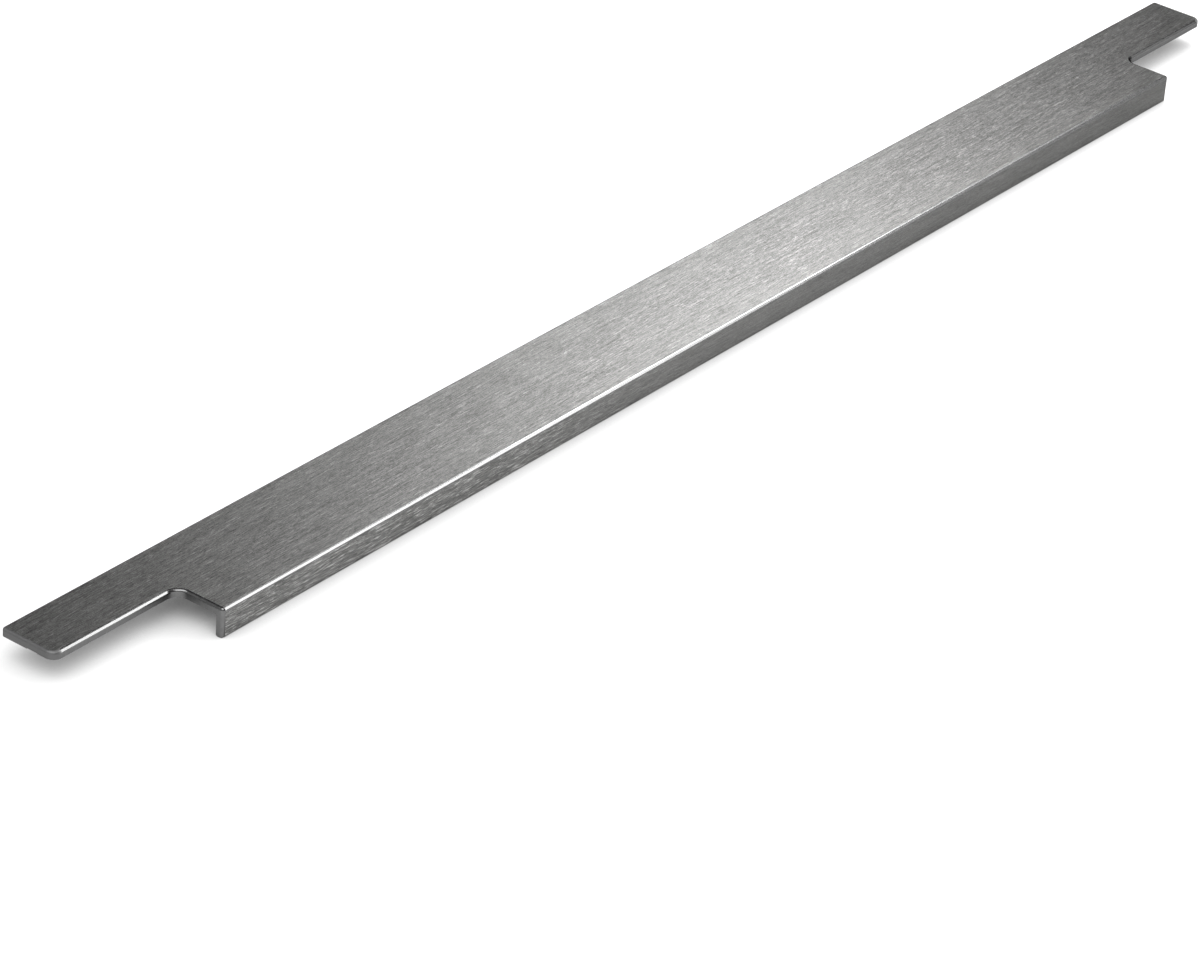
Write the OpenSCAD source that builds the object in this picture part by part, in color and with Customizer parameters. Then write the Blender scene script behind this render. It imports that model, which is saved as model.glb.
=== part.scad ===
// Profile handle for the top edge of a drawer front or door.
// One aluminium extrusion: a flat plate, a lip turned down in front as the finger pull,
// and a barbed rib underneath that is pressed into a groove in the edge of the panel.
// At both ends the lip is cut away, which leaves a tab as wide as the panel is thick.
//
// X runs along the handle, with 0 at its middle.
// Y = 0 is the face of the panel, in line with the front edge of the tabs; +Y goes to the back.
// Z = 0 is the underside of the plate, which rests on the edge of the panel; +Z is up.

/* [Plate] */
// Overall length of the handle
handle_l = 596; // [200:1:1200]
// Width of the plate behind the panel face, which is the panel thickness
tab_w = 20; // [16:0.5:40]
// How far the handle stands out in front of the panel face
overhang = 17.5; // [12:0.5:40]
// Thickness of the plate
plate_t = 2.5; // [2.2:0.1:5]

/* [Lip] */
// Height of the lip, from the top of the plate to its lower edge
lip_h = 9.7; // [6:0.1:30]
// Thickness of the lip
lip_t = 2.5; // [1.8:0.1:4]
// Radius between the back of the lip and the underside of the plate
lip_fillet_r = 1.2; // [0.5:0.1:3]
// Radius on both lower edges of the lip
lip_edge_r = 0.7; // [0.2:0.1:0.8]

/* [End tabs] */
// Length of the tab at each end, where the lip is cut away
tab_l = 50; // [35:1:90]
// Radius of the inside corner of the cut-out
notch_r = 4; // [2:0.1:8]
// Radius of the front corner of the tab, seen from above
tab_corner_r = 3.2; // [2:0.1:8]
// Radius of the back corner of the tab, seen from above
back_corner_r = 1.2; // [0.5:0.1:3]
// Radius of the upright corner at each end of the lip
lip_corner_r = 1.1; // [0.3:0.1:1.2]

/* [Edges] */
// Radius on the top edge of the lip and along the cut-outs and the ends
front_edge_r = 1; // [0.3:0.1:1.4]
// Radius on the top back edge
back_edge_r = 0.5; // [0.2:0.1:1]
// Radius on the bottom back edge
back_under_r = 0.3; // [0.1:0.1:0.8]

/* [Barbed rib] */
// Distance from the panel face to the middle of the rib
rib_setback = 8.2; // [6:0.1:12]
// Thickness of the rib between its barbs
rib_neck_t = 2.3; // [1.8:0.1:4]
// Radius where the rib meets the plate
rib_root_r = 0.8; // [0.4:0.1:1.5]
// Number of barbs on each side of the rib
barb_count = 4; // [2:1:8]
// Distance from one barb to the next
barb_pitch = 1.2; // [1:0.05:3]
// Height of the steep face of a barb, which holds against pulling out
barb_face_h = 0.2; // [0.1:0.05:0.5]
// How far a barb stands out from the rib
barb_out = 0.45; // [0.2:0.05:1]
// Thickness of the rib at its tip
rib_tip_t = 1.6; // [0.8:0.1:1.7]
// Distance from the end of the handle to where the rib leaves the plate
rib_end_gap = 29.5; // [10:0.5:34]
// Length of the slope at each end of the rib
rib_slope_l = 14; // [2:0.5:40]
// Depth of the track that the cutter leaves in the tab when the rib is milled off
track_depth = 0.2; // [0.1:0.05:0.5]

/* [Hidden] */
$fn = 72;
half_l = handle_l / 2;
lip_half_l = half_l - tab_l;
lip_drop = lip_h - plate_t;
rib_h = rib_root_r + barb_count * barb_pitch;
rib_base_w = rib_neck_t + 2 * rib_root_r;
// Spare length by which a cutting shape runs past the metal
past = 1;
// Depth by which the rib and the lip are drawn into the plate, so that they are one piece
into = plate_t / 2;

// What is taken off to round an edge to radius r. The edge is at the origin,
// and the metal lies to the right of it and below it.
module rounding(r) {
    difference() {
        translate([-past, -r]) square([r + past, r + past]);
        translate([r, -r]) circle(r);
    }
}

// A straight rounding of length l, on an edge that runs along +X from the origin.
// The metal is on the +Y side and below.
module round_edge(r, l) {
    rotate([90, 0, 90]) linear_extrude(l) rounding(r);
}

// A quarter-turn rounding on the rim of a hole of radius bend_r, round the origin,
// for the directions between +X and +Y
module round_hole_rim(r, bend_r) {
    rotate_extrude(angle = 90) translate([bend_r, 0]) rounding(r);
}

// The same on the outside of a round corner
module round_corner_rim(r, bend_r) {
    rotate_extrude(angle = 90) translate([bend_r, 0]) mirror([1, 0]) rounding(r);
}

// An upright corner rounding at the origin, for metal on the +X and +Y side
module round_upright(r, low, high) {
    translate([0, 0, low]) linear_extrude(high - low) mirror([0, 1]) rounding(r);
}

// One side of the rib, from the root down to the tip: each barb has a steep upper face
// and a long taper below it, and the last one tapers on to the narrower tip
function rib_side(side) = [
    [side * rib_neck_t / 2, into],
    for (i = [0 : barb_count - 1])
        let (top = -rib_root_r - i * barb_pitch)
            each [
                [side * rib_neck_t / 2, top],
                [side * (rib_neck_t / 2 + barb_out), top - barb_face_h]
            ],
    [side * rib_tip_t / 2, -rib_h]
];

function backwards(points) = [for (i = [len(points) - 1 : -1 : 0]) points[i]];

// Section of the rib, round its own middle plane
module rib_section() {
    polygon(concat(rib_side(-1), backwards(rib_side(1))));
    difference() {
        translate([-rib_base_w / 2, -rib_root_r]) square([rib_base_w, rib_root_r + into]);
        for (side = [-1, 1]) translate([side * rib_base_w / 2, -rib_root_r]) circle(rib_root_r);
    }
}

// Section of the lip with the radius behind it, from its front face at 0
module lip_section() {
    difference() {
        translate([0, -lip_drop]) square([lip_t, lip_drop + into]);
        translate([0, -lip_drop]) mirror([0, 1]) rounding(lip_edge_r);
        translate([lip_t, -lip_drop]) mirror([1, 0]) mirror([0, 1]) rounding(lip_edge_r);
    }
    difference() {
        translate([lip_t - past, -lip_fillet_r]) square([lip_fillet_r + past, lip_fillet_r + into]);
        translate([lip_t + lip_fillet_r, -lip_fillet_r]) circle(lip_fillet_r);
    }
}

// Section of the whole extrusion, with Y to the right and Z up
module handle_section() {
    difference() {
        union() {
            translate([-overhang, 0]) square([overhang + tab_w, plate_t]);
            translate([-overhang, 0]) lip_section();
            translate([rib_setback, 0]) rib_section();
        }
        translate([-overhang, plate_t]) rounding(front_edge_r);
        translate([tab_w, plate_t]) mirror([1, 0]) rounding(back_edge_r);
        translate([tab_w, 0]) mirror([1, 0]) mirror([0, 1]) rounding(back_under_r);
    }
}

// The cut-out in front of a tab, seen from above
module notch_outline() {
    difference() {
        translate([lip_half_l, -overhang - past]) square([tab_l + past, overhang + past]);
        translate([lip_half_l - past, -notch_r]) square([notch_r + past, notch_r + past]);
    }
    translate([lip_half_l + notch_r, -notch_r]) circle(notch_r);
}

// Everything that is cut off the +X end
module end_cuts() {
    low = -lip_drop - past;
    high = plate_t + past;
    // The cut-out, and the upright corners of the lip and the tab
    translate([0, 0, low]) linear_extrude(high - low) notch_outline();
    translate([lip_half_l, -overhang]) mirror([1, 0, 0]) round_upright(lip_corner_r, low, high);
    translate([half_l, 0]) mirror([1, 0, 0]) round_upright(tab_corner_r, low, high);
    translate([half_l, tab_w]) rotate(180) round_upright(back_corner_r, low, high);
    // The rounded top edge, from the lip round the cut-out and the tab to the back
    translate([0, 0, plate_t]) {
        translate([lip_half_l, -overhang - past])
            rotate(90) round_edge(front_edge_r, overhang + past - notch_r);
        translate([lip_half_l + notch_r, -notch_r])
            rotate(90) round_hole_rim(front_edge_r, notch_r);
        translate([lip_half_l + notch_r, 0])
            round_edge(front_edge_r, tab_l - notch_r - tab_corner_r);
        translate([half_l - tab_corner_r, tab_corner_r])
            rotate(-90) round_corner_rim(front_edge_r, tab_corner_r);
        translate([half_l, tab_corner_r])
            rotate(90) round_edge(front_edge_r, tab_w - tab_corner_r + past);
    }
    // The rib beyond its sloped end
    translate([half_l - rib_end_gap, rib_setback + rib_base_w, 0])
        rotate([90, 0, 0]) linear_extrude(2 * rib_base_w)
            polygon([[0, 0], [rib_end_gap + past, 0], [rib_end_gap + past, -rib_h - past],
                     [-rib_slope_l * (1 + past / rib_h), -rib_h - past]]);
    // The cutter's track, with a round end where the rib begins
    translate([half_l - rib_end_gap + rib_base_w / 2, rib_setback, -past])
        linear_extrude(past + track_depth) {
            circle(rib_base_w / 2);
            translate([0, -rib_base_w / 2]) square([rib_end_gap, rib_base_w]);
        }
}

module profile_handle() {
    color([0.42, 0.42, 0.41])
        difference() {
            translate([-half_l, 0, 0])
                rotate([90, 0, 90]) linear_extrude(handle_l) handle_section();
            end_cuts();
            mirror([1, 0, 0]) end_cuts();
        }
}

profile_handle();
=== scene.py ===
"""Profile handle for the edge of a door or drawer front: one milled and brushed aluminium extrusion.

The section and the plan are drawn as outlines whose corners carry a radius. Geometry Nodes
round them, give them depth and cut one with the other, then mill the ends of the rib.
Lengths are in millimetres while the handle is made, and in metres once it is done.
"""

import math

import bpy
from bpy.props import FloatProperty, FloatVectorProperty, IntProperty, PointerProperty
from mathutils import Matrix, Vector


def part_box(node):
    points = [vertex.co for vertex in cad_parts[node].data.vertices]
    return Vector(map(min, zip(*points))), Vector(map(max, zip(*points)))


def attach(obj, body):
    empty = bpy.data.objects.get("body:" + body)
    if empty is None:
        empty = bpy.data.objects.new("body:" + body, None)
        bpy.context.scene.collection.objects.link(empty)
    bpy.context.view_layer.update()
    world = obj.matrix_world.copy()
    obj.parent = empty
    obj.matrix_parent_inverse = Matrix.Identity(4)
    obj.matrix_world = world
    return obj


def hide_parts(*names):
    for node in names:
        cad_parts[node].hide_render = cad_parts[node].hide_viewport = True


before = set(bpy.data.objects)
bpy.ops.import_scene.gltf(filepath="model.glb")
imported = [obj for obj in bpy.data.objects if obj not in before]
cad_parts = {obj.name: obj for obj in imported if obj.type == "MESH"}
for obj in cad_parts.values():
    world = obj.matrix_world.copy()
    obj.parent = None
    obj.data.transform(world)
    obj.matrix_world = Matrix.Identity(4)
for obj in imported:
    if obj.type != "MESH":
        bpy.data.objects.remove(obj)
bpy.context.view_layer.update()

bl_info = {
    "name": "Profile handle",
    "version": (1, 0, 0),
    "blender": (4, 5, 0),
    "location": "3D View > Sidebar > Handle",
    "description": "Makes a brushed aluminium profile handle and a plain stage for it",
    "category": "Add Mesh",
}

MM = 0.001
HANDLE_LOW, HANDLE_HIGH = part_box("profile_handle")

# The numbers that tell the outlines apart
SECTION, PLAN, RIB_END, TRACK = range(4)
# The numbers of the finishes, in the order of the material slots
BRUSHED, EASED, BARE = range(3)
# Spare length, in millimetres, by which a cutting shape runs past the metal
PAST = 1.0
# Points closer together than this, in millimetres, count as one
SAME_PLACE = 0.01
# Corners with a smaller radius than this, in millimetres, are rounded in few steps
FINE_RADIUS = 0.15
FINE_STEPS = 2

# The photo's camera, worked out from the straight edges of the handle. The places are in
# metres, the sensor and the lens in millimetres.
CAMERA_PLACE = Vector((-1.1310, -0.7759, 0.7275))
CAMERA_AIM = Vector((-0.1168, -0.0491, 0.0))
CAMERA_ROLL = math.radians(4.71)
CAMERA_SENSOR = 36
CAMERA_LENS = 146.73


def linear(hex_colour):
    """An sRGB hex colour as the linear values that Blender works in."""
    values = [int(hex_colour[i:i + 2], 16) / 255 for i in (1, 3, 5)]
    return [v / 12.92 if v <= 0.04045 else ((v + 0.055) / 1.055) ** 2.4 for v in values]


def length_property(name, description, millimetres):
    """A length, kept in metres, with its default given in millimetres."""
    return FloatProperty(
        name=name, description=description, default=millimetres * MM, min=0,
        unit="LENGTH", precision=5,
    )


class HandleSizes(bpy.types.PropertyGroup):
    """Sizes of the extrusion and of what is milled off it"""

    lip_thickness: length_property("Lip thickness", "Thickness of the lip", 2.5)
    plate_thickness: length_property("Plate thickness", "Thickness of the flat plate", 2.5)
    lip_drop: length_property("Lip drop", "How far the lip hangs below the plate", 7.2)
    lip_fillet: length_property("Lip fillet", "Radius behind the lip, under the plate", 1.2)
    lip_edge: length_property("Lip edge", "Radius of the lip's two lower edges", 0.7)
    tab_length: length_property("Tab length", "Length of the tab at each end", 50)
    notch_radius: length_property("Notch radius", "Inside corner of the cut-out", 4)
    tab_corner: length_property("Tab corner", "Front corner of the tab, from above", 3.2)
    back_corner: length_property("Back corner", "Back corner of the tab, from above", 1.2)
    lip_corner: length_property("Lip corner", "Upright corner at the lip's end", 1.1)
    front_edge: length_property("Front edge", "Radius of the top edge in front and at the ends", 1)
    back_edge: length_property("Back edge", "Radius of the top edge at the back", 0.5)
    back_under: length_property("Back underside", "Radius of the lower back edge", 0.3)
    rib_setback: length_property("Rib setback", "From the panel face to the rib's middle", 8.2)
    rib_neck: length_property("Rib neck", "Thickness of the rib between its barbs", 2.3)
    rib_root: length_property("Rib root", "Radius where the rib meets the plate", 0.8)
    barb_pitch: length_property("Barb pitch", "From one barb to the next", 1.2)
    barb_face: length_property("Barb face", "Height of a barb's steep face", 0.2)
    barb_out: length_property("Barb reach", "How far a barb stands out", 0.45)
    barb_round: length_property("Barb rounding", "Radius on the crest of a barb", 0.08)
    rib_tip: length_property("Rib tip", "Thickness of the rib at its tip", 1.6)
    rib_tip_round: length_property("Rib tip rounding", "Radius on both edges of the rib's tip", 0.2)
    rib_gap: length_property("Rib gap", "From the handle's end to the rib's root", 29.5)
    rib_slope: length_property("Rib slope", "Length of the slope at the rib's end", 14)
    track_depth: length_property("Track depth", "Depth of the cutter's track in the tab", 0.2)
    barbs: IntProperty(name="Barbs", description="Barbs on each side of the rib", default=4, min=1)
    arc_steps: IntProperty(
        name="Arc steps", description="Straight steps in each rounded corner", default=14, min=2
    )


class HandleFinish(bpy.types.PropertyGroup):
    """Colours and grain of the metal"""

    face_colour: FloatVectorProperty(
        name="Brushed face", description="Tone of the brushed and anodised faces",
        subtype="COLOR", min=0, max=1, default=linear("#6f6f6e"),
    )
    edge_colour: FloatVectorProperty(
        name="Eased edge", description="Tone of the milled, eased and anodised edges",
        subtype="COLOR", min=0, max=1, default=linear("#707070"),
    )
    bare_colour: FloatVectorProperty(
        name="Bare metal", description="Tone of the metal where the rib is milled off",
        subtype="COLOR", min=0, max=1, default=linear("#8e8a87"),
    )
    streak_length: length_property("Streak length", "Length of a short brush streak", 1.4)
    streak_width: length_property("Streak width", "Width of a brush streak", 0.22)
    streak_depth: length_property("Streak depth", "Depth of the grooves that the belt leaves", 0.04)
    # The glints are painted highlights, added to the metal's colour
    glint_length: length_property("Glint length", "Length of a painted glint", 4)
    glint_width: length_property("Glint width", "Width of a painted glint", 0.2)
    # The lip has its own tone, and over its near part that tone carries a painted sparkle
    lip_reach: length_property("Lip reach", "How deep the lip's finish goes from its face", 1)
    lip_fade: length_property("Lip fade", "Depth over which the lip's finish begins", 0.5)
    # Where the painted sparkle on the lip begins and where it is strongest: stronger streaks and
    # painted glints that stand in for a raking light's glitter
    sparkle_end: length_property("Sparkle end", "From the middle to where the painted sparkle ends", 20)
    sparkle_full: length_property("Full sparkle", "From the middle to where the painted sparkle is strongest", 130)
    etch_grain: length_property("Etched grain", "Size of the fine grain left by etching", 0.35)
    edge_grain: length_property("Edge grain", "Size of the grain on the eased edges", 1.1)
    matt_reach: length_property("Matt reach", "How far the matt look of a sawn end goes in", 3.4)
    matt_fade: length_property("Matt fade", "Length over which that look begins", 0.6)
    bare_grain: length_property("Bare grain", "Size of the grain on the bare metal", 0.7)
    cutter_step: length_property("Cutter step", "Distance between two marks of the cutter", 0.8)
    cutter_depth: length_property("Cutter depth", "Depth of the cutter's marks", 0.01)


class StageSettings(bpy.types.PropertyGroup):
    """Floor, sky and lamps"""

    floor_colour: FloatVectorProperty(
        name="Floor", description="Colour of the floor", subtype="COLOR", min=0, max=1,
        default=linear("#858585"),
    )
    floor_reach: length_property("Floor reach", "From the middle of the floor to its edge", 15000)
    floor_lift: FloatProperty(
        name="Floor lift", description="Light that the floor gives of its own", default=0.9
    )
    contact_reach: length_property("Contact reach", "How far the contact shadow reaches", 16)
    sky_level: FloatProperty(
        name="Sky level", description="Brightness of the sky at the handle's far end", default=0.12
    )
    near_sky_level: FloatProperty(
        name="Near sky level", description="Brightness of the sky at its near end", default=0.5
    )
    sun_level: FloatProperty(
        name="Sun level", description="Strength of the wide, soft lamp overhead", default=1.2
    )
    wide_panel: FloatProperty(
        name="Wide panel", description="Power of the wide panel mirrored in the plate",
        default=2.3, unit="POWER",
    )
    narrow_panel: FloatProperty(
        name="Narrow panel", description="Power of the panel that brightens the plate's middle",
        default=2.4, unit="POWER",
    )
    far_panel: FloatProperty(
        name="Far panel", description="Power of the panel mirrored in the plate from the other end",
        default=4, unit="POWER",
    )
    edge_panel: FloatProperty(
        name="Edge panel", description="Power of the panel mirrored in the front edge",
        default=25, unit="POWER",
    )
    edge_fill: FloatProperty(
        name="Edge fill", description="Power of the panel mirrored in the front edge's far half",
        default=1.0, unit="POWER",
    )


def fill(tree, node, inputs):
    """Fills a node's inputs.

    An input takes a plain value, an output, a list of outputs, or a node, which stands for
    its first output.
    """
    for socket, value in dict(inputs).items():
        for source in value if isinstance(value, list) else [value]:
            if isinstance(source, bpy.types.Node):
                source = source.outputs[0]
            if isinstance(source, bpy.types.NodeSocket):
                tree.links.new(source, node.inputs[socket])
            else:
                node.inputs[socket].default_value = source


def add_node(tree, kind, inputs=(), **settings):
    """Adds a node, sets it up and fills its inputs."""
    node = tree.nodes.new(kind)
    for name, value in settings.items():
        setattr(node, name, value)
    fill(tree, node, inputs)
    return node


def new_tree(name, sockets):
    """A Geometry Nodes tree with these named inputs and one mesh output."""
    tree = bpy.data.node_groups.new(name, "GeometryNodeTree")
    for socket_name, socket_type in sockets:
        tree.interface.new_socket(socket_name, in_out="INPUT", socket_type=socket_type)
    tree.interface.new_socket("Mesh", in_out="OUTPUT", socket_type="NodeSocketGeometry")
    return tree, tree.nodes.new("NodeGroupInput").outputs, tree.nodes.new("NodeGroupOutput")


def rounded_prism_tree():
    """Rounds the corners of a flat outline, fills it and gives it depth along its Z."""
    tree, given, result = new_tree("Rounded prism", [
        ("Outline", "NodeSocketGeometry"),
        ("Depth", "NodeSocketFloat"),
        ("Turn", "NodeSocketRotation"),
        ("Place", "NodeSocketVector"),
        ("Finish", "NodeSocketInt"),
    ])
    radius = add_node(tree, "GeometryNodeInputNamedAttribute", {"Name": "corner_radius"})
    steps = add_node(
        tree, "GeometryNodeInputNamedAttribute", {"Name": "corner_steps"}, data_type="INT"
    )
    curve = add_node(tree, "GeometryNodeMeshToCurve", {"Mesh": given["Outline"]})
    rounded = add_node(tree, "GeometryNodeFilletCurve", mode="POLY", inputs={
        "Curve": curve, "Count": steps, "Radius": radius, "Limit Radius": True,
    })
    base = add_node(tree, "GeometryNodeFillCurve", {"Curve": rounded}, mode="NGONS")
    walls = add_node(tree, "GeometryNodeExtrudeMesh", mode="FACES", inputs={
        "Mesh": base, "Offset": (0, 0, 1), "Offset Scale": given["Depth"], "Individual": False,
    })
    under = add_node(tree, "GeometryNodeFlipFaces", {"Mesh": base})
    whole = add_node(tree, "GeometryNodeJoinGeometry", {"Geometry": [walls, under]})
    closed = add_node(
        tree, "GeometryNodeMergeByDistance", {"Geometry": whole, "Distance": SAME_PLACE}
    )
    placed = add_node(tree, "GeometryNodeTransform", {
        "Geometry": closed, "Translation": given["Place"], "Rotation": given["Turn"],
    })
    marked = add_node(
        tree, "GeometryNodeStoreNamedAttribute", data_type="INT", domain="FACE",
        inputs={"Geometry": placed, "Name": "finish", "Value": given["Finish"]},
    )
    fill(tree, result, {"Mesh": marked})
    return tree


def milled_extrusion_tree():
    """Cuts the section's prism with the plan's prism, and mills the rib's ends and the tracks."""
    tree, given, result = new_tree("Milled extrusion", [
        ("Outlines", "NodeSocketGeometry"),
        ("Length", "NodeSocketFloat"),
        ("Lowest", "NodeSocketFloat"),
        ("Height", "NodeSocketFloat"),
        ("Rib cut back", "NodeSocketFloat"),
        ("Rib cut width", "NodeSocketFloat"),
        ("Track depth", "NodeSocketFloat"),
        ("Brushed", "NodeSocketMaterial"),
        ("Eased", "NodeSocketMaterial"),
        ("Bare", "NodeSocketMaterial"),
    ])
    prism = rounded_prism_tree()
    shape = add_node(tree, "GeometryNodeInputNamedAttribute", {"Name": "shape"}, data_type="INT")

    def solid(number, finish, depth, turn, axis, start):
        """The prism of the outlines that carry this number, from its start along an axis."""
        is_it = add_node(
            tree, "FunctionNodeCompare", {2: shape, 3: number}, data_type="INT", operation="EQUAL"
        )
        outline = add_node(tree, "GeometryNodeSeparateGeometry", {
            "Geometry": given["Outlines"], "Selection": is_it,
        })
        place = add_node(tree, "ShaderNodeCombineXYZ", {axis: start})
        return add_node(tree, "GeometryNodeGroup", node_tree=prism, inputs={
            "Outline": outline, "Depth": depth, "Turn": turn, "Place": place, "Finish": finish,
        })

    half_back = add_node(
        tree, "ShaderNodeMath", {0: given["Length"], 1: -0.5}, operation="MULTIPLY"
    )
    track_height = add_node(
        tree, "ShaderNodeMath", {0: given["Track depth"], 1: PAST}, operation="ADD"
    )
    quarter = math.pi / 2
    section = solid(SECTION, BRUSHED, given["Length"], (quarter, 0, quarter), "X", half_back)
    plan = solid(PLAN, EASED, given["Height"], (0, 0, 0), "Z", given["Lowest"])
    rib_ends = solid(
        RIB_END, BARE, given["Rib cut width"], (quarter, 0, 0), "Y", given["Rib cut back"]
    )
    tracks = solid(TRACK, BARE, track_height, (0, 0, 0), "Z", -PAST)
    cut_out = add_node(
        tree, "GeometryNodeMeshBoolean", {"Mesh 2": [section, plan]},
        operation="INTERSECT", solver="MANIFOLD",
    )
    milled = add_node(
        tree, "GeometryNodeMeshBoolean", {"Mesh 1": cut_out, "Mesh 2": [rib_ends, tracks]},
        operation="DIFFERENCE", solver="MANIFOLD",
    )
    coated = add_node(tree, "GeometryNodeRealizeInstances", {"Geometry": milled})
    finish = add_node(tree, "GeometryNodeInputNamedAttribute", {"Name": "finish"}, data_type="INT")
    for number, material in ((BRUSHED, "Brushed"), (EASED, "Eased"), (BARE, "Bare")):
        has_it = add_node(
            tree, "FunctionNodeCompare", {2: finish, 3: number}, data_type="INT", operation="EQUAL"
        )
        coated = add_node(tree, "GeometryNodeSetMaterial", {
            "Geometry": coated, "Selection": has_it, "Material": given[material],
        })
    fill(tree, result, {"Mesh": coated})
    return tree


def add_object(name, data):
    """An object at the origin that holds this data."""
    made = bpy.data.objects.new(name, data)
    bpy.context.scene.collection.objects.link(made)
    return made


def outlines_object(name, outlines, arc_steps):
    """Closed outlines as edges. Each point is (x, y, corner radius), in millimetres."""
    points, edges, radii, numbers = [], [], [], []
    for number, outline in outlines:
        first = len(points)
        for i, (x, y, radius) in enumerate(outline):
            points.append((x, y, 0))
            radii.append(radius)
            numbers.append(number)
            edges.append((first + i, first + (i + 1) % len(outline)))
    mesh = bpy.data.meshes.new(name)
    mesh.from_pydata(points, edges, [])
    steps = [arc_steps if radius > FINE_RADIUS else FINE_STEPS for radius in radii]
    for attribute, kind, values in (
        ("corner_radius", "FLOAT", radii), ("corner_steps", "INT", steps), ("shape", "INT", numbers)
    ):
        mesh.attributes.new(attribute, kind, "POINT").data.foreach_set("value", values)
    return add_object(name, mesh)


def rib_height(size):
    """From the underside of the plate to the rib's tip."""
    return size["rib_root"] + size["barbs"] * size["barb_pitch"]


def section_outline(size):
    """The extrusion's section, seen from the -X end: X is the depth and Y is up."""
    front, back = HANDLE_LOW.y / MM, HANDLE_HIGH.y / MM
    middle = size["rib_setback"]
    half_neck = size["rib_neck"] / 2
    crest = half_neck + size["barb_out"]

    def rib_side(side):
        """The rib's side from its root down to its tip."""
        points = [(middle + side * half_neck, 0, size["rib_root"])]
        for i in range(size["barbs"]):
            top = -size["rib_root"] - i * size["barb_pitch"]
            points.append((middle + side * half_neck, top, 0))
            points.append((middle + side * crest, top - size["barb_face"], size["barb_round"]))
        tip = middle + side * size["rib_tip"] / 2
        points.append((tip, -rib_height(size), size["rib_tip_round"]))
        return points

    return [
        (front, size["plate_thickness"], 0),
        (front, -size["lip_drop"], size["lip_edge"]),
        (front + size["lip_thickness"], -size["lip_drop"], size["lip_edge"]),
        (front + size["lip_thickness"], 0, size["lip_fillet"]),
        *rib_side(-1),
        *reversed(rib_side(1)),
        (back, 0, size["back_under"]),
        (back, size["plate_thickness"], 0),
    ]


def other_end(outline):
    """The outline mirrored to the -X end, and still going round the same way."""
    return [(-x, y, radius) for x, y, radius in reversed(outline)]


def plan_outline(size):
    """The handle seen from above: the lip between the two cut-outs, and a tab at each end."""
    front, back = HANDLE_LOW.y / MM, HANDLE_HIGH.y / MM
    end = HANDLE_HIGH.x / MM
    lip_end = end - size["tab_length"]
    right = [
        (lip_end, front, size["lip_corner"]),
        (lip_end, 0, size["notch_radius"]),
        (end, 0, size["tab_corner"]),
        (end, back, size["back_corner"]),
    ]
    return right + other_end(right)


def rib_end_outlines(size):
    """What is milled off beyond each sloped end of the rib, seen from the front."""
    end = HANDLE_HIGH.x / MM
    root = end - size["rib_gap"]
    depth = rib_height(size)
    low = -depth - PAST
    foot = root - size["rib_slope"] * (1 + PAST / depth)
    wedge = [(root, 0, 0), (foot, low, 0), (end + PAST, low, 0), (end + PAST, 0, 0)]
    return [wedge, other_end(wedge)]


def track_outlines(size):
    """The cutter's track in each tab, with a round end where the rib begins."""
    end = HANDLE_HIGH.x / MM
    root = end - size["rib_gap"]
    half = size["rib_neck"] / 2 + size["rib_root"]
    back, front = size["rib_setback"] + half, size["rib_setback"] - half
    # Just under half the width, so that the two arcs don't end in the same point
    round_end = half * 0.999
    track = [
        (root, back, round_end), (root, front, round_end),
        (end + PAST, front, 0), (end + PAST, back, 0),
    ]
    return [track, other_end(track)]


def in_millimetres(settings):
    """The group's lengths as a dictionary in millimetres, with its counts as they are."""
    values = {}
    for name in settings.__annotations__:
        value = getattr(settings, name)
        values[name] = value if isinstance(value, int) else value / MM
    return values


def apply_modifiers(made):
    """Replaces the object's mesh with the result of its modifiers, and removes them."""
    evaluated = made.evaluated_get(bpy.context.evaluated_depsgraph_get())
    result = bpy.data.meshes.new_from_object(evaluated)
    made.modifiers.clear()
    made.data = result


def order_slots(mesh, materials):
    """Puts the materials in the order of the finishes' numbers.

    The plate's underside stays as it was extruded, also beside the place of the milled rib.
    """
    given = list(mesh.materials)
    kept = [given[polygon.material_index] for polygon in mesh.polygons]
    mesh.materials.clear()
    for material in materials:
        mesh.materials.append(material)
    level, downward = 0.001, -0.99
    for polygon, material in zip(mesh.polygons, kept):
        underside = abs(polygon.center.z) < level and polygon.normal.z < downward
        polygon.material_index = BRUSHED if underside else materials.index(material)


def lay_grain(mesh):
    """A UV map whose U runs along the grain of the metal, lengthwise wherever a face allows it."""
    tiles_per_metre = 10
    end_face = 0.8
    layer = mesh.uv_layers.new(name="grain")
    for polygon in mesh.polygons:
        normal = polygon.normal
        along = Vector((1, 0, 0)) if abs(normal.x) < end_face else Vector((0, 1, 0))
        across = normal.cross(along).normalized()
        for loop in polygon.loop_indices:
            place = mesh.vertices[mesh.loops[loop].vertex_index].co * tiles_per_metre
            layer.data[loop].uv = (place.dot(along), place.dot(across))


def mark_eased_edges(mesh, size):
    """Gives each edge that is to be rounded its share of the front edge's radius."""
    top = size["plate_thickness"]
    corner = size["back_corner"]
    corner_start = HANDLE_HIGH.y / MM - corner
    weights = [0.0] * len(mesh.edges)
    for edge in mesh.edges:
        ends = [mesh.vertices[i].co for i in edge.vertices]
        middle = (ends[0] + ends[1]) / 2
        if all(abs(p.z - top) < SAME_PLACE for p in ends):
            into_corner = min(max((middle.y - corner_start) / corner, 0), 1)
            radius = size["front_edge"] + (size["back_edge"] - size["front_edge"]) * into_corner
            weights[edge.index] = radius / size["front_edge"]
    mesh.attributes.new("bevel_weight_edge", "FLOAT", "EDGE").data.foreach_set("value", weights)


def shade(made):
    """Smooth faces with crisp edges where the surface turns sharply."""
    crisp_from = math.radians(28)
    made.data.shade_smooth()
    made.data.set_sharp_from_angle(angle=crisp_from)
    modifier = made.modifiers.new("Even normals", "WEIGHTED_NORMAL")
    modifier.keep_sharp = True
    modifier.weight = 100
    apply_modifiers(made)


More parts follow.
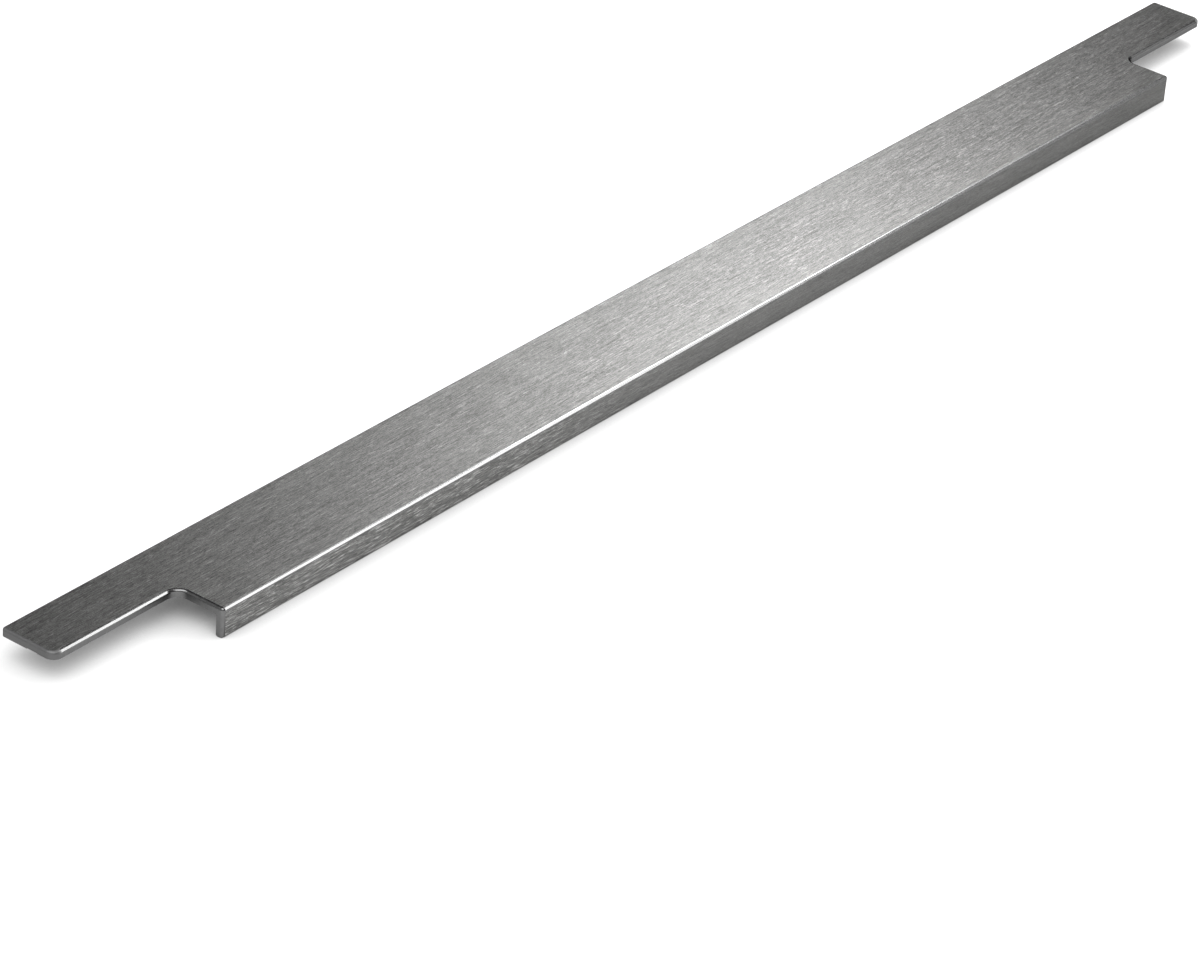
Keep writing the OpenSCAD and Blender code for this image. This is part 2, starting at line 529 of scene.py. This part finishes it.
class HANDLE_OT_add_extrusion(bpy.types.Operator):
    """Makes the milled extrusion, with its rounded edges and its finishes"""

    bl_idname = "handle.add_extrusion"
    bl_label = "Add handle"

    def execute(self, context):
        size = in_millimetres(context.scene.handle_sizes)
        finish = context.scene.handle_finish
        outlines = [(SECTION, section_outline(size)), (PLAN, plan_outline(size))]
        outlines += [(RIB_END, outline) for outline in rib_end_outlines(size)]
        outlines += [(TRACK, outline) for outline in track_outlines(size)]
        handle = outlines_object("handle_extrusion", outlines, size["arc_steps"])
        tree = milled_extrusion_tree()
        modifier = handle.modifiers.new("Milled extrusion", "NODES")
        modifier.node_group = tree
        lowest = HANDLE_LOW.z / MM - PAST
        rib_base = size["rib_neck"] + 2 * size["rib_root"]
        materials = [brushed_metal(finish), eased_metal(finish), bare_metal(finish, size)]
        inputs = {
            "Length": (HANDLE_HIGH.x - HANDLE_LOW.x) / MM,
            "Lowest": lowest,
            "Height": size["plate_thickness"] + PAST - lowest,
            "Rib cut back": size["rib_setback"] + rib_base,
            "Rib cut width": 2 * rib_base,
            "Track depth": size["track_depth"],
            "Brushed": materials[BRUSHED],
            "Eased": materials[EASED],
            "Bare": materials[BARE],
        }
        for item in tree.interface.items_tree:
            if item.in_out == "INPUT" and item.name in inputs:
                modifier[item.identifier] = inputs[item.name]
        apply_modifiers(handle)
        if not handle.data.polygons:
            raise RuntimeError("The milled extrusion has no faces")
        order_slots(handle.data, materials)
        mark_eased_edges(handle.data, size)
        rounding = handle.modifiers.new("Rounded edges", "BEVEL")
        rounding.limit_method = "WEIGHT"
        rounding.width = size["front_edge"]
        rounding.segments = 8
        rounding.use_clamp_overlap = False
        rounding.loop_slide = True
        rounding.material = EASED
        apply_modifiers(handle)
        handle.data.transform(Matrix.Scale(MM, 4))
        shade(handle)
        lay_grain(handle.data)
        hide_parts("profile_handle")
        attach(handle, "root")
        return {"FINISHED"}


def new_metal(name):
    """A metal with its tree, its shader and the place on the object, in metres.

    The tint of the glare at low angles keeps the pale floor and sky from whitening the metal.
    """
    material = bpy.data.materials.new(name)
    material.use_nodes = True
    tree = material.node_tree
    shader = tree.nodes["Principled BSDF"]
    fill(tree, shader, {"Metallic": 1, "Specular Tint": (0.25, 0.25, 0.25, 1)})
    place = add_node(tree, "ShaderNodeTexCoord").outputs["Object"]
    return material, tree, shader, place


def streaks(tree, place, length, width, detail):
    """Noise drawn out along X: its cells are this long and this wide, in metres."""
    cells = add_node(tree, "ShaderNodeVectorMath", operation="MULTIPLY", inputs={
        0: place, 1: (1 / length, 1 / width, 1 / width),
    })
    return add_node(tree, "ShaderNodeTexNoise", noise_dimensions="3D", inputs={
        "Vector": cells, "Scale": 1.0, "Detail": detail, "Roughness": 0.6,
    })


def noise_range(low, high):
    """Map Range inputs that turn noise, which lies mostly from 0.3 to 0.7, into this range."""
    return {"From Min": 0.3, "From Max": 0.7, "To Min": low, "To Max": high}


def distance_from_middle(tree, place):
    """How far a place is from the middle of the handle's length."""
    parts = add_node(tree, "ShaderNodeSeparateXYZ", {"Vector": place})
    return add_node(tree, "ShaderNodeMath", {0: parts.outputs["X"]}, operation="ABSOLUTE")


def brushed_metal(finish):
    """Aluminium, belt-brushed lengthwise and anodised in a dark steel tone.

    The brush leaves fine grooves along X, so a lamp's reflection spreads across the handle
    and stays short along it. Bright glints are painted into the colour along single scratch
    lines, as painted highlights. Over the near part of the lip's length the streaks are painted
    in stronger contrast with more painted glints, a painted sparkle. Real grooves are a few
    hundredths of a millimetre wide, too fine to show, so the streaks, the scratch lines and the
    etched grain are drawn several times as coarse.
    """
    material, tree, shader, place = new_metal("Brushed anodised aluminium")
    # The belt leaves short streaks and, among them, some that run on eight times as long
    short = streaks(tree, place, finish.streak_length, finish.streak_width, 4)
    long = streaks(tree, place, 8 * finish.streak_length, 1.2 * finish.streak_width, 3)
    # This noise places the painted glints, bright painted highlights along scratch lines
    painted_glint_noise = streaks(tree, place, finish.glint_length, finish.glint_width, 2)
    grooves = add_node(
        tree, "ShaderNodeMix", {"Factor": 0.45, "A": short, "B": long}, data_type="FLOAT"
    )

    def tone_with_glints(low, high, first, gain):
        """The grooves' tone, with a painted glint, a painted highlight, added where the glint noise
        passes first.
        """
        tone = add_node(tree, "ShaderNodeMapRange", {"Value": grooves, **noise_range(low, high)})
        glint = add_node(tree, "ShaderNodeMapRange", {
            "Value": painted_glint_noise, "From Min": first, "From Max": first + 0.14, "To Max": gain,
        })
        return add_node(tree, "ShaderNodeMath", {0: tone, 1: glint}, operation="ADD")

    # Tones are factors on the colour of the face; the glints added to them are painted highlights
    plate_tone = tone_with_glints(low=0.25, high=1.65, first=0.58, gain=1.1)
    painted_sparkle_tone = tone_with_glints(low=0.25, high=1.55, first=0.54, gain=2.0)
    smooth_tone = add_node(tree, "ShaderNodeMapRange", {
        "Value": grooves, **noise_range(0.55, 1.45),
    })
    parts = add_node(tree, "ShaderNodeSeparateXYZ", {"Vector": place}).outputs
    # Over the near part of the lip, stronger streaks and more painted glints make a painted sparkle
    painted_sparkle = add_node(tree, "ShaderNodeMapRange", {
        "Value": parts["X"], "From Min": -finish.sparkle_end, "From Max": -finish.sparkle_full,
    })
    lip_tone = add_node(tree, "ShaderNodeMix", data_type="FLOAT", inputs={
        "Factor": painted_sparkle, "A": smooth_tone, "B": painted_sparkle_tone,
    })
    lip_start = HANDLE_LOW.y + finish.lip_reach
    on_lip = add_node(tree, "ShaderNodeMapRange", {
        "Value": parts["Y"], "From Min": lip_start, "From Max": lip_start - finish.lip_fade,
    })
    grain_and_glint_tone = add_node(tree, "ShaderNodeMix", data_type="FLOAT", inputs={
        "Factor": on_lip, "A": plate_tone, "B": lip_tone,
    })
    etched = add_node(tree, "ShaderNodeTexNoise", {
        "Vector": place, "Scale": 1 / finish.etch_grain, "Detail": 2.0,
    })
    etched_tone = add_node(tree, "ShaderNodeMapRange", {
        "Value": etched, **noise_range(0.75, 1.25),
    })
    tone = add_node(
        tree, "ShaderNodeMath", {0: grain_and_glint_tone, 1: etched_tone}, operation="MULTIPLY"
    )
    colour = add_node(tree, "ShaderNodeVectorMath", operation="SCALE", inputs={
        0: tuple(finish.face_colour), "Scale": tone,
    })
    roughness = add_node(tree, "ShaderNodeMapRange", {
        "Value": grooves, **noise_range(0.32, 0.42),
    })
    bump = add_node(tree, "ShaderNodeBump", {
        "Height": grooves, "Strength": 1.0, "Distance": finish.streak_depth,
    })
    grain = add_node(tree, "ShaderNodeTangent", direction_type="UV_MAP", uv_map="grain")
    fill(tree, shader, {
        "Base Color": colour, "Roughness": roughness, "Normal": bump, "Tangent": grain,
        "Anisotropic": 0.7, "Anisotropic Rotation": 0.25,
    })
    return material


def eased_metal(finish):
    """Aluminium, milled to shape, its edge eased smooth, and anodised in the same tone.

    It is smoother than the brushed faces, so lamps show in it as crisp white lines. The
    sawn ends are tumbled matt, so they stay an even grey. The real grain is too fine to show,
    so it is drawn coarser.
    """
    material, tree, shader, place = new_metal("Milled anodised aluminium")
    marks = add_node(tree, "ShaderNodeTexNoise", {
        "Vector": place, "Scale": 1 / finish.edge_grain, "Detail": 3.0,
    })
    tone = add_node(tree, "ShaderNodeMapRange", {"Value": marks, **noise_range(0.93, 1.07)})
    colour = add_node(tree, "ShaderNodeVectorMath", operation="SCALE", inputs={
        0: tuple(finish.edge_colour), "Scale": tone,
    })
    matt_start = HANDLE_HIGH.x - finish.matt_reach
    ends = add_node(tree, "ShaderNodeMapRange", {
        "Value": distance_from_middle(tree, place),
        "From Min": matt_start, "From Max": matt_start + finish.matt_fade,
    })
    smooth = add_node(tree, "ShaderNodeMapRange", {"Value": marks, **noise_range(0.17, 0.23)})
    matt = add_node(tree, "ShaderNodeMapRange", {"Value": marks, **noise_range(0.5, 0.6)})
    roughness = add_node(
        tree, "ShaderNodeMix", {"Factor": ends, "A": smooth, "B": matt}, data_type="FLOAT"
    )
    fill(tree, shader, {"Base Color": colour, "Roughness": roughness})
    return material


def bare_metal(finish, size):
    """Aluminium cut with an end mill after the anodising, so it is bare.

    It is lighter and a little warmer than the rest, and the cutter leaves a round mark at each
    step, which catches the light on one side. The real marks lie about 0.2 mm apart, too fine
    to show, so they are drawn farther apart, and the grain coarser.
    """
    material, tree, shader, place = new_metal("Bare milled aluminium")
    radius = (size["rib_neck"] / 2 + size["rib_root"]) * MM
    parts = add_node(tree, "ShaderNodeSeparateXYZ", {"Vector": place}).outputs
    # The marks are arcs of the cutter's radius, so each lies ahead by its bow at the middle
    aside = add_node(
        tree, "ShaderNodeMath", {0: parts["Y"], 1: size["rib_setback"] * MM}, operation="SUBTRACT"
    )
    squared = add_node(tree, "ShaderNodeMath", {0: aside, 1: aside}, operation="MULTIPLY")
    room = add_node(tree, "ShaderNodeMath", {0: radius ** 2, 1: squared}, operation="SUBTRACT")
    inside = add_node(tree, "ShaderNodeMath", {0: room, 1: 0}, operation="MAXIMUM")
    bow = add_node(tree, "ShaderNodeMath", {0: inside}, operation="SQRT")
    phase = add_node(
        tree, "ShaderNodeMath", {0: distance_from_middle(tree, place), 1: bow}, operation="ADD"
    )
    turns = add_node(
        tree, "ShaderNodeMath", {0: phase, 1: 2 * math.pi / finish.cutter_step},
        operation="MULTIPLY",
    )
    wave = add_node(tree, "ShaderNodeMath", {0: turns}, operation="SINE")
    bump = add_node(tree, "ShaderNodeBump", {
        "Height": wave, "Strength": 1.0, "Distance": finish.cutter_depth,
    })
    marks = add_node(tree, "ShaderNodeTexNoise", {
        "Vector": place, "Scale": 1 / finish.bare_grain, "Detail": 3.0,
    })
    tone = add_node(tree, "ShaderNodeMapRange", {"Value": marks, **noise_range(0.9, 1.1)})
    colour = add_node(tree, "ShaderNodeVectorMath", operation="SCALE", inputs={
        0: tuple(finish.bare_colour), "Scale": tone,
    })
    roughness = add_node(tree, "ShaderNodeMapRange", {"Value": marks, **noise_range(0.35, 0.5)})
    fill(tree, shader, {"Base Color": colour, "Roughness": roughness, "Normal": bump})
    return material


class HANDLE_OT_add_stage(bpy.types.Operator):
    """Makes the floor, the lamps and the camera"""

    bl_idname = "handle.add_stage"
    bl_label = "Add stage"

    def execute(self, context):
        stage = context.scene.handle_stage
        add_floor(stage)
        add_world(stage)
        add_lamps(stage)
        add_camera()
        context.scene.view_settings.view_transform = "Standard"
        return {"FINISHED"}


def add_floor(stage):
    """A wide pale floor under the handle, clear from below so that the underside can be seen."""
    mesh = bpy.data.meshes.new("Floor")
    half, level = stage.floor_reach, HANDLE_LOW.z
    corners = [(-half, -half), (half, -half), (half, half), (-half, half)]
    mesh.from_pydata([(x, y, level) for x, y in corners], [], [(0, 1, 2, 3)])
    floor = add_object("Floor", mesh)
    material = bpy.data.materials.new("Pale floor")
    material.use_nodes = True
    tree = material.node_tree
    shader = tree.nodes["Principled BSDF"]
    # The floor gives less light of its own close to the handle, which keeps the contact shadow
    path = add_node(tree, "ShaderNodeLightPath").outputs
    open_sky = add_node(
        tree, "ShaderNodeAmbientOcclusion", {"Distance": stage.contact_reach}, samples=8
    ).outputs["AO"]
    lift = path["Is Camera Ray"]
    for operation, other in (
        ("MAXIMUM", path["Is Glossy Ray"]), ("MAXIMUM", path["Is Transmission Ray"]),
        ("MULTIPLY", open_sky), ("MULTIPLY", stage.floor_lift),
    ):
        lift = add_node(tree, "ShaderNodeMath", {0: lift, 1: other}, operation=operation)
    fill(tree, shader, {
        "Base Color": (*stage.floor_colour, 1), "Roughness": 0.9, "Specular IOR Level": 0,
        "Emission Color": (1, 1, 1, 1), "Emission Strength": lift,
    })
    below = add_node(tree, "ShaderNodeNewGeometry").outputs["Backfacing"]
    clear = add_node(tree, "ShaderNodeBsdfTransparent")
    one_sided = add_node(tree, "ShaderNodeMixShader", {"Fac": below, 1: shader, 2: clear})
    fill(tree, tree.nodes["Material Output"], {"Surface": one_sided})
    mesh.materials.append(material)


def add_world(stage):
    """Soft light from all round, stronger from the handle's near end."""
    world = bpy.data.worlds.new("Studio")
    world.use_nodes = True
    tree = world.node_tree
    way = add_node(tree, "ShaderNodeTexCoord").outputs["Generated"]
    along = add_node(tree, "ShaderNodeSeparateXYZ", {"Vector": way}).outputs["X"]
    # X is -1 towards the near end, and the sky has reached its far level just past straight up
    level = add_node(tree, "ShaderNodeMapRange", interpolation_type="SMOOTHSTEP", inputs={
        "Value": along, "From Min": -0.9, "From Max": 0.3,
        "To Min": stage.near_sky_level, "To Max": stage.sky_level,
    })
    fill(tree, tree.nodes["Background"], {"Color": (1, 1, 1, 1), "Strength": level})
    bpy.context.scene.world = world


def add_lamp(name, kind, matrix, **settings):
    """A lamp with this matrix and these settings."""
    data = bpy.data.lights.new(name, kind)
    for setting, value in settings.items():
        setattr(data, setting, value)
    add_object(name, data).matrix_world = matrix


def add_panel(name, watts, aim, angle, share, distance, size):
    """A soft panel that lights the handle from a direction given as it shows in the metal.

    The share is the part of the direction that lies along X, and the angle, in degrees, is
    turned from straight up towards the front. The size is the panel's short side and its long
    side, which lies square to the handle.
    """
    across = math.sqrt(1 - share * share)
    turn = math.radians(angle)
    to_panel = Vector((share, -across * math.sin(turn), across * math.cos(turn)))
    long_side = Vector((1, 0, 0)).cross(to_panel).normalized()
    axes = Matrix((long_side.cross(to_panel), long_side, to_panel)).transposed().to_4x4()
    add_lamp(
        name, "AREA", Matrix.Translation(aim + to_panel * distance) @ axes,
        energy=watts, shape="RECTANGLE", size=size[0], size_y=size[1],
    )


def add_lamps(stage):
    """A soft overhead light, and the panels that the metal mirrors."""
    overhead = Vector((-0.3, -0.1, 1)).to_track_quat("Z", "Y").to_matrix().to_4x4()
    add_lamp("Soft overhead", "SUN", overhead, energy=stage.sun_level, angle=math.radians(60))
    front, top = HANDLE_LOW.y, HANDLE_HIGH.z
    plate = Vector((0.01, 0, top))
    add_panel(
        "Wide panel", stage.wide_panel, aim=plate,
        angle=-18, share=0.69, distance=0.75, size=(0.48, 0.45),
    )
    add_panel(
        "Narrow panel", stage.narrow_panel, aim=plate,
        angle=-8, share=0.70, distance=0.6, size=(0.16, 0.3),
    )
    add_panel(
        "Far panel", stage.far_panel, aim=plate,
        angle=12, share=-0.66, distance=1.0, size=(0.6, 1.2),
    )
    add_panel(
        "Edge panel", stage.edge_panel, aim=Vector((-0.15, front, top)),
        angle=52, share=0.67, distance=1.6, size=(0.55, 2.0),
    )
    add_panel(
        "Edge fill", stage.edge_fill, aim=Vector((0.15, front, top)),
        angle=45, share=0.80, distance=1.0, size=(0.3, 1.2),
    )


def add_camera():
    """The camera that sees the handle as the photo does."""
    data = bpy.data.cameras.new("Camera")
    data.sensor_width = CAMERA_SENSOR
    data.lens = CAMERA_LENS
    data.clip_start = 0.01
    data.clip_end = 100
    camera = add_object("Camera", data)
    turn = (CAMERA_AIM - CAMERA_PLACE).to_track_quat("-Z", "Y").to_matrix().to_4x4()
    roll = Matrix.Rotation(CAMERA_ROLL, 4, "Z")
    camera.matrix_world = Matrix.Translation(CAMERA_PLACE) @ turn @ roll
    bpy.context.scene.camera = camera


class HANDLE_PT_sidebar(bpy.types.Panel):
    """Sizes, finish and stage of the profile handle"""

    bl_idname = "HANDLE_PT_sidebar"
    bl_label = "Profile handle"
    bl_space_type = "VIEW_3D"
    bl_region_type = "UI"
    bl_category = "Handle"

    def draw(self, context):
        scene = context.scene
        for title, settings in (
            ("Sizes", scene.handle_sizes), ("Finish", scene.handle_finish),
            ("Stage", scene.handle_stage),
        ):
            box = self.layout.box()
            box.label(text=title)
            for name in settings.__annotations__:
                box.prop(settings, name)
        self.layout.operator(HANDLE_OT_add_extrusion.bl_idname)
        self.layout.operator(HANDLE_OT_add_stage.bl_idname)


CLASSES = (
    HandleSizes, HandleFinish, StageSettings,
    HANDLE_OT_add_extrusion, HANDLE_OT_add_stage, HANDLE_PT_sidebar,
)


def register():
    for cls in CLASSES:
        bpy.utils.register_class(cls)
    bpy.types.Scene.handle_sizes = PointerProperty(type=HandleSizes)
    bpy.types.Scene.handle_finish = PointerProperty(type=HandleFinish)
    bpy.types.Scene.handle_stage = PointerProperty(type=StageSettings)


def unregister():
    del bpy.types.Scene.handle_stage
    del bpy.types.Scene.handle_finish
    del bpy.types.Scene.handle_sizes
    for cls in reversed(CLASSES):
        bpy.utils.unregister_class(cls)


def main():
    register()
    bpy.ops.handle.add_extrusion()
    bpy.ops.handle.add_stage()


if __name__ == "__main__":
    main()
